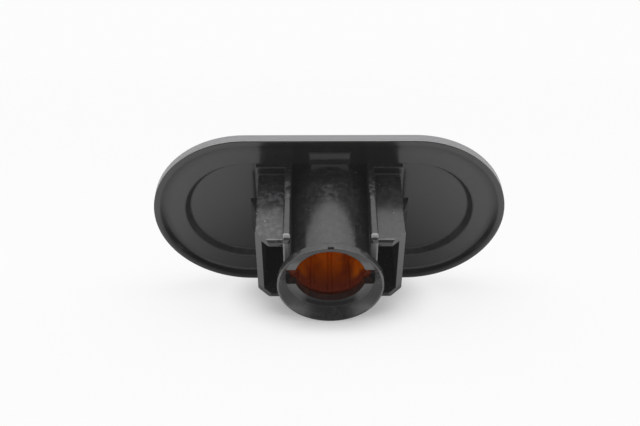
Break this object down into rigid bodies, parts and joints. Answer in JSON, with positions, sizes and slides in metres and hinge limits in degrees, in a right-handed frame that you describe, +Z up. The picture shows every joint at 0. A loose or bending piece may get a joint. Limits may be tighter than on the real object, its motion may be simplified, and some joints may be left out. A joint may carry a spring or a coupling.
{
  "type": "side repeater lamp",
  "caption": "Pill-shaped side repeater lamp: a domed clear lens on a black snap-in housing, with a rear bulb tube lined by an amber cap.",
  "frame": {"origin": "on the bulb tube's axis, in the plane of the lip's rear face, where the lamp seats on the car's panel", "axes": "+X along the lamp, +Y out of the car through the lens, -Y along the bulb tube into the car, +Z up as fitted"},
  "size_m": [0.073, 0.0333, 0.0394],
  "materials": {
    "black_housing": "semi-gloss moulded black, a little dusty",
    "clear_lens": "clear polished plastic",
    "amber_filter": "transparent amber plastic"
  },
  "bodies": {
    "root": {"rear_housing": "black_housing", "front_lens": "clear_lens", "amber_cap": "amber_filter"}
  },
  "joints": []
}
